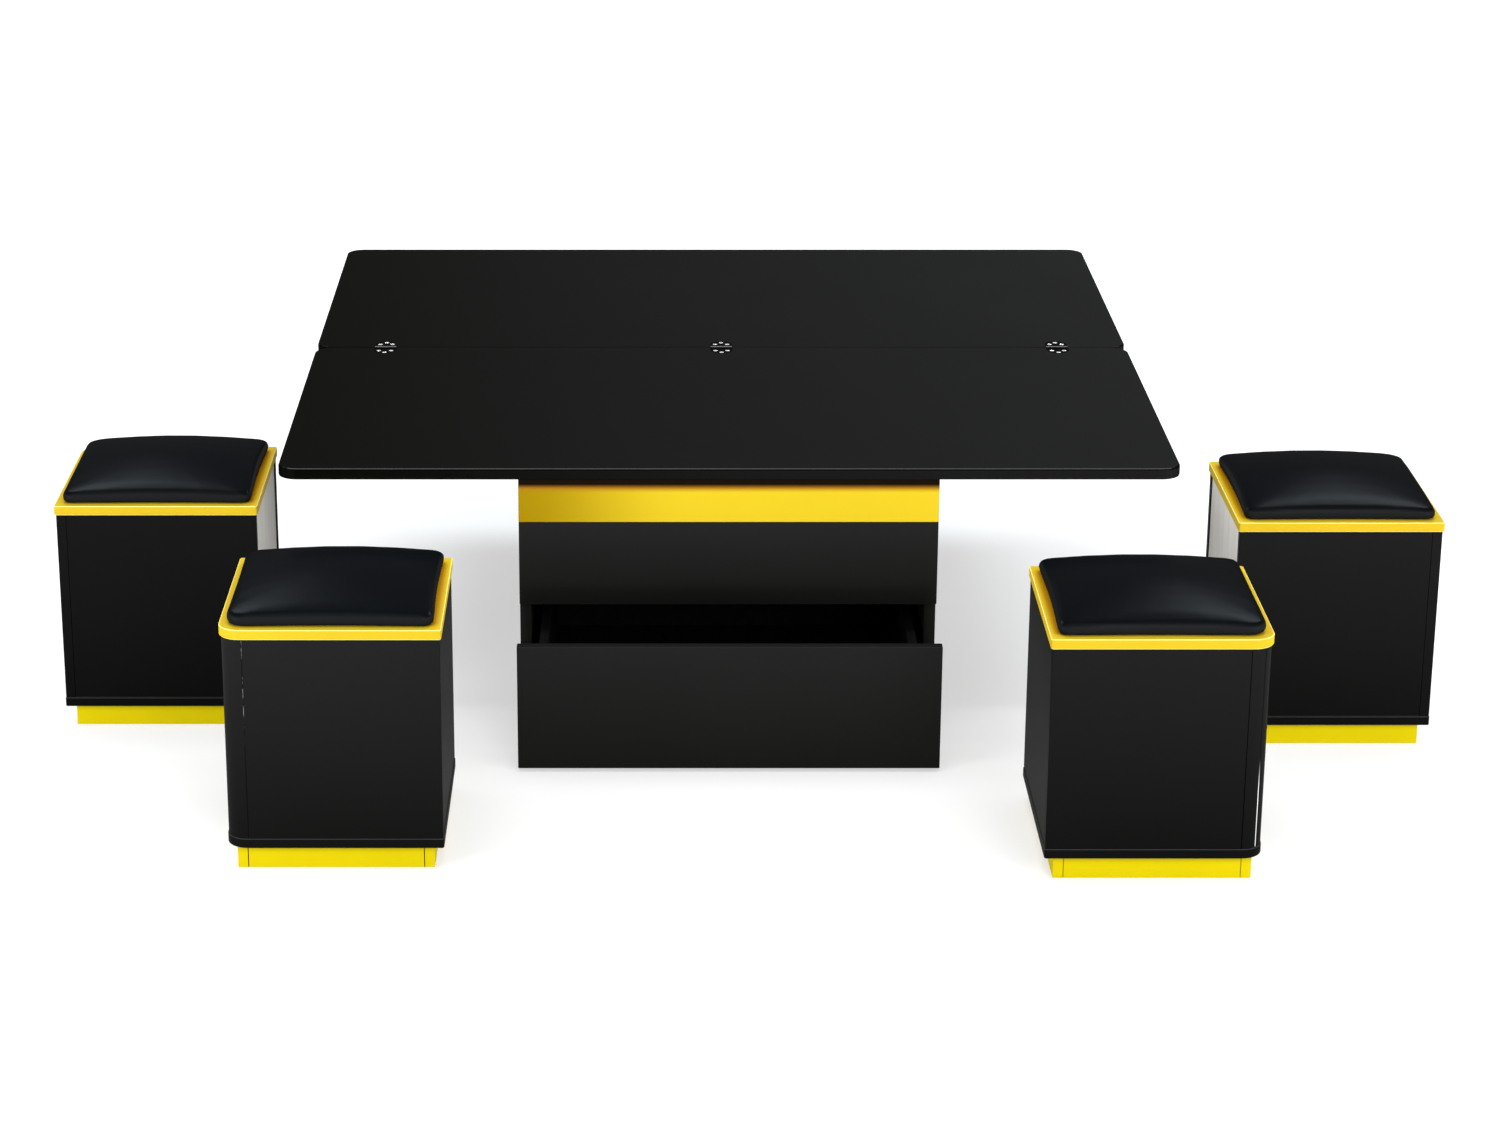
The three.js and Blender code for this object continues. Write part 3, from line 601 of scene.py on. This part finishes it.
def bake(obj):
    """Puts the object's modifiers into its mesh."""
    depsgraph = bpy.context.evaluated_depsgraph_get()
    mesh = bpy.data.meshes.new_from_object(obj.evaluated_get(depsgraph))
    obj.modifiers.clear()
    old = obj.data
    obj.data = mesh
    bpy.data.meshes.remove(old)


def inflate(obj, floor):
    """Blows the cover up a little over its foam, then holds each point within reach."""
    start = [vertex.co.copy() for vertex in obj.data.vertices]
    pinned = obj.vertex_groups.new(name="pinned")
    held = [i for i, point in enumerate(start) if point.z < floor + SEAM_HEIGHT]
    pinned.add(held, 1.0, "REPLACE")
    cloth = obj.modifiers.new("cover", "CLOTH")
    for key, value in COVER_CLOTH.items():
        setattr(cloth.settings, key, value)
    cloth.settings.effector_weights.gravity = 0.0
    cloth.point_cache.frame_start = 1
    cloth.point_cache.frame_end = COVER_STEPS
    for step in range(1, COVER_STEPS + 1):
        scene.frame_set(step)
    bake(obj)
    scene.frame_set(1)
    for vertex, origin in zip(obj.data.vertices, start):
        move = vertex.co - origin
        if move.length > COVER_REACH:
            vertex.co = origin + move * (COVER_REACH / move.length)
        vertex.co.z = max(vertex.co.z, floor)
    obj.vertex_groups.clear()


def make_cushion(stool, material):
    """A crowned cushion in its own cover, sat down a little in front, from the CAD form."""
    node = nodes[f"stool_{stool}_cushion"]
    low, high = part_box(node.name)
    centre = (low + high) / 2
    obj = bpy.data.objects.new(f"stool_{stool}_leather_seat", node.data.copy())
    scene.collection.objects.link(obj)
    for vertex in obj.data.vertices:
        across = (vertex.co.x - centre.x) / (high.x - centre.x)
        forward = max(0.0, (centre.y - vertex.co.y) / (centre.y - low.y))
        sat = 1 - SAT_SHARE * forward * (1 - min(1.0, across * across))
        vertex.co.x = centre.x + (vertex.co.x - centre.x) * COVER_WIDER
        vertex.co.y = centre.y + (vertex.co.y - centre.y) * COVER_WIDER
        vertex.co.z = low.z + (vertex.co.z - low.z) * COVER_HIGHER * sat
    remesh = obj.modifiers.new("even", "REMESH")
    remesh.mode = "VOXEL"
    remesh.voxel_size = COVER_GRID
    bake(obj)
    smooth = obj.modifiers.new("smooth", "SMOOTH")
    smooth.factor = 0.5
    smooth.iterations = 1
    bake(obj)
    inflate(obj, low.z)
    finer = obj.modifiers.new("finer", "SUBSURF")
    finer.levels = finer.render_levels = 1
    bake(obj)
    for vertex in obj.data.vertices:
        vertex.co.z = max(vertex.co.z, low.z)
    for face in obj.data.polygons:
        face.use_smooth = True
    obj.data.materials.clear()
    obj.data.materials.append(material)
    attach(obj, f"stool_{stool}")
    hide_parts(node.name)


# Fittings
SCREW_RADIUS, SCREW_RISE = 4.2 * MM, 0.4 * MM
SCREW_SINK = 0.35 * MM      # from the leaf's face down to a head's outer ring
SCREW_SPOTS = ((-10.5 * MM, 20 * MM), (0.0, 30.5 * MM), (10.5 * MM, 20 * MM))
SCREW_RINGS = ((1.0, 0.0), (0.97, 0.25), (0.84, 0.62), (0.6, 0.88), (0.34, 0.98))
SCREW_SIDES = 24
RECESS_DEPTH = 0.7 * MM
RECESS_HUB, RECESS_ARM = 0.1, 0.22          # shares of the head's radius
SEAM_HALF, SEAM_SKIN, SEAM_DEEP = 0.5 * MM, 0.15 * MM, 0.6 * MM
# The painted highlight strip's corners, in degrees round the corner's centre and mm off the
# shell
HIGHLIGHT_STRIP = ((-50.2, -0.4), (-47.8, -0.4), (-47.8, 0.12), (-50.2, 0.12))


def bridge(mesh, lower, upper):
    """Joins two loops of as many corners with faces."""
    for i, corner in enumerate(lower):
        j = (i + 1) % len(lower)
        mesh.faces.new((corner, lower[j], upper[j], upper[i]))


def prism(mesh, corners, bottom, top):
    """An upright bar on a loop of corners, added to a bmesh."""
    lower, upper = ([mesh.verts.new((corner[X], corner[Y], height)) for corner in corners]
                    for height in (bottom, top))
    mesh.faces.new(list(reversed(lower)))
    mesh.faces.new(upper)
    bridge(mesh, lower, upper)


def bar(mesh, low, high):
    """A box between two corners, added to a bmesh."""
    corners = ((low[X], low[Y]), (high[X], low[Y]), (high[X], high[Y]), (low[X], high[Y]))
    prism(mesh, corners, low[Z], high[Z])


def screw_head(mesh, centre, turn):
    """A raised countersunk head with a cross recess, added to a bmesh."""
    spin = Matrix.Rotation(turn, 4, "Z")
    angles = [2 * math.pi * i / SCREW_SIDES for i in range(SCREW_SIDES)]

    def corner(reach, angle, height):
        point = Vector((reach * math.cos(angle), reach * math.sin(angle), height))
        return mesh.verts.new(centre + spin @ point)

    rows = [[corner(SCREW_RADIUS * share, angle, SCREW_RISE * height) for angle in angles]
            for share, height in SCREW_RINGS]
    for lower, upper in zip(rows, rows[1:]):
        bridge(mesh, lower, upper)
    recess = []
    for angle in angles:
        arm = abs(math.cos(2 * angle)) ** 3
        reach = SCREW_RADIUS * (RECESS_HUB + RECESS_ARM * arm)
        bottom = SCREW_RISE * SCREW_RINGS[-1][1] - RECESS_DEPTH
        recess.append(corner(reach, angle, bottom))
    bridge(mesh, rows[-1], recess)
    mesh.faces.new(recess)
    mesh.faces.new(list(reversed(rows[0])))


def new_piece(name, mesh, material, body):
    """A piece of the scene's own from a bmesh, on the body that carries it."""
    data = bpy.data.meshes.new(name)
    mesh.to_mesh(data)
    mesh.free()
    for face in data.polygons:
        face.use_smooth = True
    data.materials.append(material)
    obj = bpy.data.objects.new(name, data)
    scene.collection.objects.link(obj)
    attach(obj, body)


def make_hinge_screws(material):
    """Three screws in an arc on each hinge plate."""
    for kind, body, way in (("fixed", "platform", -1), ("flip", "flip_leaf", 1)):
        for number in (1, 2, 3):
            low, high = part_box(f"hinge_plate_{kind}_{number}")
            middle = (low.x + high.x) / 2
            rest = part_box(f"{kind}_leaf")[1].z - SCREW_SINK
            mesh = bmesh.new()
            for index, (dx, dy) in enumerate(SCREW_SPOTS):
                centre = Vector((middle + dx, JOINT_Y + way * dy, rest))
                screw_head(mesh, centre, turn=0.5 * index + number)
            new_piece(f"hinge_screws_{kind}_{number}", mesh, material, body)


def make_light_lines(material):
    """Light lines: in the left front stool's seams, and a painted highlight strip down the
    right one's arc.
    """
    low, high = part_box("stool_front_left_corner_shell")
    bottom, top = low.z + MM, high.z - MM
    mesh = bmesh.new()
    seam = low.x + STOOL_CORNER
    bar(mesh, (seam - SEAM_HALF, low.y + SEAM_SKIN, bottom),
        (seam + SEAM_HALF, low.y + SEAM_DEEP, top))
    seam = low.y + STOOL_CORNER
    bar(mesh, (low.x + SEAM_SKIN, seam - SEAM_HALF, bottom),
        (low.x + SEAM_DEEP, seam + SEAM_HALF, top))
    new_piece("seam_edges_front_left", mesh, material, "stool_front_left")

    # A painted highlight: a light strip on the right front stool's arc
    low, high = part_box("stool_front_right_corner_shell")
    centre = Vector((high.x - STOOL_CORNER, low.y + STOOL_CORNER, 0))
    corners = []
    for angle, off in HIGHLIGHT_STRIP:
        turn = math.radians(angle)
        out = Vector((math.cos(turn), math.sin(turn), 0))
        corners.append(centre + (STOOL_CORNER + off * MM) * out)
    mesh = bmesh.new()
    prism(mesh, corners, low.z + MM, high.z - MM)
    new_piece("painted_highlight_strip_front_right", mesh, material, "stool_front_right")


# Studio
WHITE = (1.0, 1.0, 1.0)
COOL = (0.86, 0.94, 1.0)
FLOOR_SIZE, FLOOR_DROP = 60.0, 0.2 * MM
FLOOR_GREY = 0.8            # the floor as it lights the object
FLOOR_SHOWN, FLOOR_GLOW = 0.5, 0.52         # the floor as it is seen, white with its shadow
SKY_SOFT, SKY_SHOWN = 0.62, 1.0
SUNS = (    # name, where it stands, strength, spread in degrees
    ("key", (0.3, -0.9, 0.42), 0.9, 24),
    ("overhead", (-0.05, 0.15, 1.0), 0.7, 30),
)
LAMPS = (   # name, place, what it is aimed at, size, watts, colour
    ("strip", (0.0, -1.4, 3.2), (0.0, -0.5, 0.4), (2.6, 0.25), 24, WHITE),
    ("rim_left", (-2.45, 4.4, 4.6), (-0.6, -0.4, 0.4), (1.7, 1.1), 200, COOL),
    ("rim_right", (2.55, 4.4, 4.6), (0.6, -0.4, 0.4), (1.7, 1.1), 200, COOL),
    ("side_left", (-2.6, -2.3, 0.7), (0.5, 0.0, 0.2), (1.4, 0.9), 46, WHITE),
    ("side_right", (2.6, -2.3, 0.7), (-0.5, 0.0, 0.2), (1.4, 0.9), 46, WHITE),
)


def seen_directly(tree):
    """1 for the rays that show the background: to the camera, off gloss and through glass."""
    path = tree.nodes.new("ShaderNodeLightPath")
    total = path.outputs["Is Camera Ray"]
    for name in ("Is Glossy Ray", "Is Transmission Ray"):
        either = tree.nodes.new("ShaderNodeMath")
        either.operation = "MAXIMUM"
        tree.links.new(total, either.inputs[0])
        tree.links.new(path.outputs[name], either.inputs[1])
        total = either.outputs[0]
    return total


def shown_apart(tree, output, lighting, shown):
    """Gives an output one shader for the light it throws and one for how it is seen."""
    pick = tree.nodes.new("ShaderNodeMixShader")
    tree.links.new(seen_directly(tree), pick.inputs[0])
    tree.links.new(lighting.outputs[0], pick.inputs[1])
    tree.links.new(shown.outputs[0], pick.inputs[2])
    tree.links.new(pick.outputs[0], output.inputs["Surface"])


def shader(tree, kind, key, value):
    """A shader node with one of its inputs set."""
    node = tree.nodes.new(kind)
    node.inputs[key].default_value = value
    return node


def make_floor():
    """A wide pale floor that shows as white and keeps the object's shadow."""
    data = bpy.data.meshes.new("floor")
    corners = [(x * FLOOR_SIZE, y * FLOOR_SIZE, 0)
               for x, y in ((-1, -1), (1, -1), (1, 1), (-1, 1))]
    data.from_pydata(corners, [], [(0, 1, 2, 3)])
    floor = bpy.data.objects.new("floor", data)
    floor.location.z = -FLOOR_DROP
    scene.collection.objects.link(floor)
    material = bpy.data.materials.new("pale_floor")
    material.use_nodes = True
    tree = material.node_tree
    tree.nodes.clear()
    output = tree.nodes.new("ShaderNodeOutputMaterial")
    plain = shader(tree, "ShaderNodeBsdfDiffuse", "Color", (*grey(FLOOR_GREY), 1.0))
    shown = shader(tree, "ShaderNodeBsdfDiffuse", "Color", (*grey(FLOOR_SHOWN), 1.0))
    glow = shader(tree, "ShaderNodeEmission", "Strength", FLOOR_GLOW)
    both = tree.nodes.new("ShaderNodeAddShader")
    tree.links.new(shown.outputs[0], both.inputs[0])
    tree.links.new(glow.outputs[0], both.inputs[1])
    shown_apart(tree, output, plain, both)
    data.materials.append(material)


def make_world():
    """Soft even light all round, seen as plain white."""
    world = bpy.data.worlds.new("studio")
    world.use_nodes = True
    scene.world = world
    tree = world.node_tree
    tree.nodes.clear()
    output = tree.nodes.new("ShaderNodeOutputWorld")
    soft = shader(tree, "ShaderNodeBackground", "Strength", SKY_SOFT)
    shown = shader(tree, "ShaderNodeBackground", "Strength", SKY_SHOWN)
    for background in (soft, shown):
        background.inputs["Color"].default_value = (*WHITE, 1.0)
    shown_apart(tree, output, soft, shown)


def make_sun(name, toward, strength, spread):
    """A far, soft lamp that lights the floor evenly from the direction given."""
    data = bpy.data.lights.new(name, "SUN")
    data.energy = strength
    data.angle = math.radians(spread)
    obj = bpy.data.objects.new(name, data)
    obj.rotation_euler = Vector(toward).to_track_quat("Z", "Y").to_euler()
    scene.collection.objects.link(obj)


def make_lamp(name, place, target, size, power, color):
    """A soft box that stands at a place and is aimed at a point."""
    data = bpy.data.lights.new(name, "AREA")
    data.shape = "RECTANGLE"
    data.size, data.size_y = size
    data.energy = power
    data.color = color
    obj = bpy.data.objects.new(name, data)
    obj.location = place
    aim = Vector(target) - Vector(place)
    obj.rotation_euler = aim.to_track_quat("-Z", "Y").to_euler()
    scene.collection.objects.link(obj)


make_camera()
materials = make_materials()
dress_nodes(materials)
for stool in STOOLS:
    make_cushion(stool, materials["cushion_leather"])
make_hinge_screws(materials["screw_steel"])
make_light_lines(materials["seam_light_and_highlight"])
make_floor()
make_world()
for row in SUNS:
    make_sun(*row)
for row in LAMPS:
    make_lamp(*row)
scene.view_settings.view_transform = "Standard"
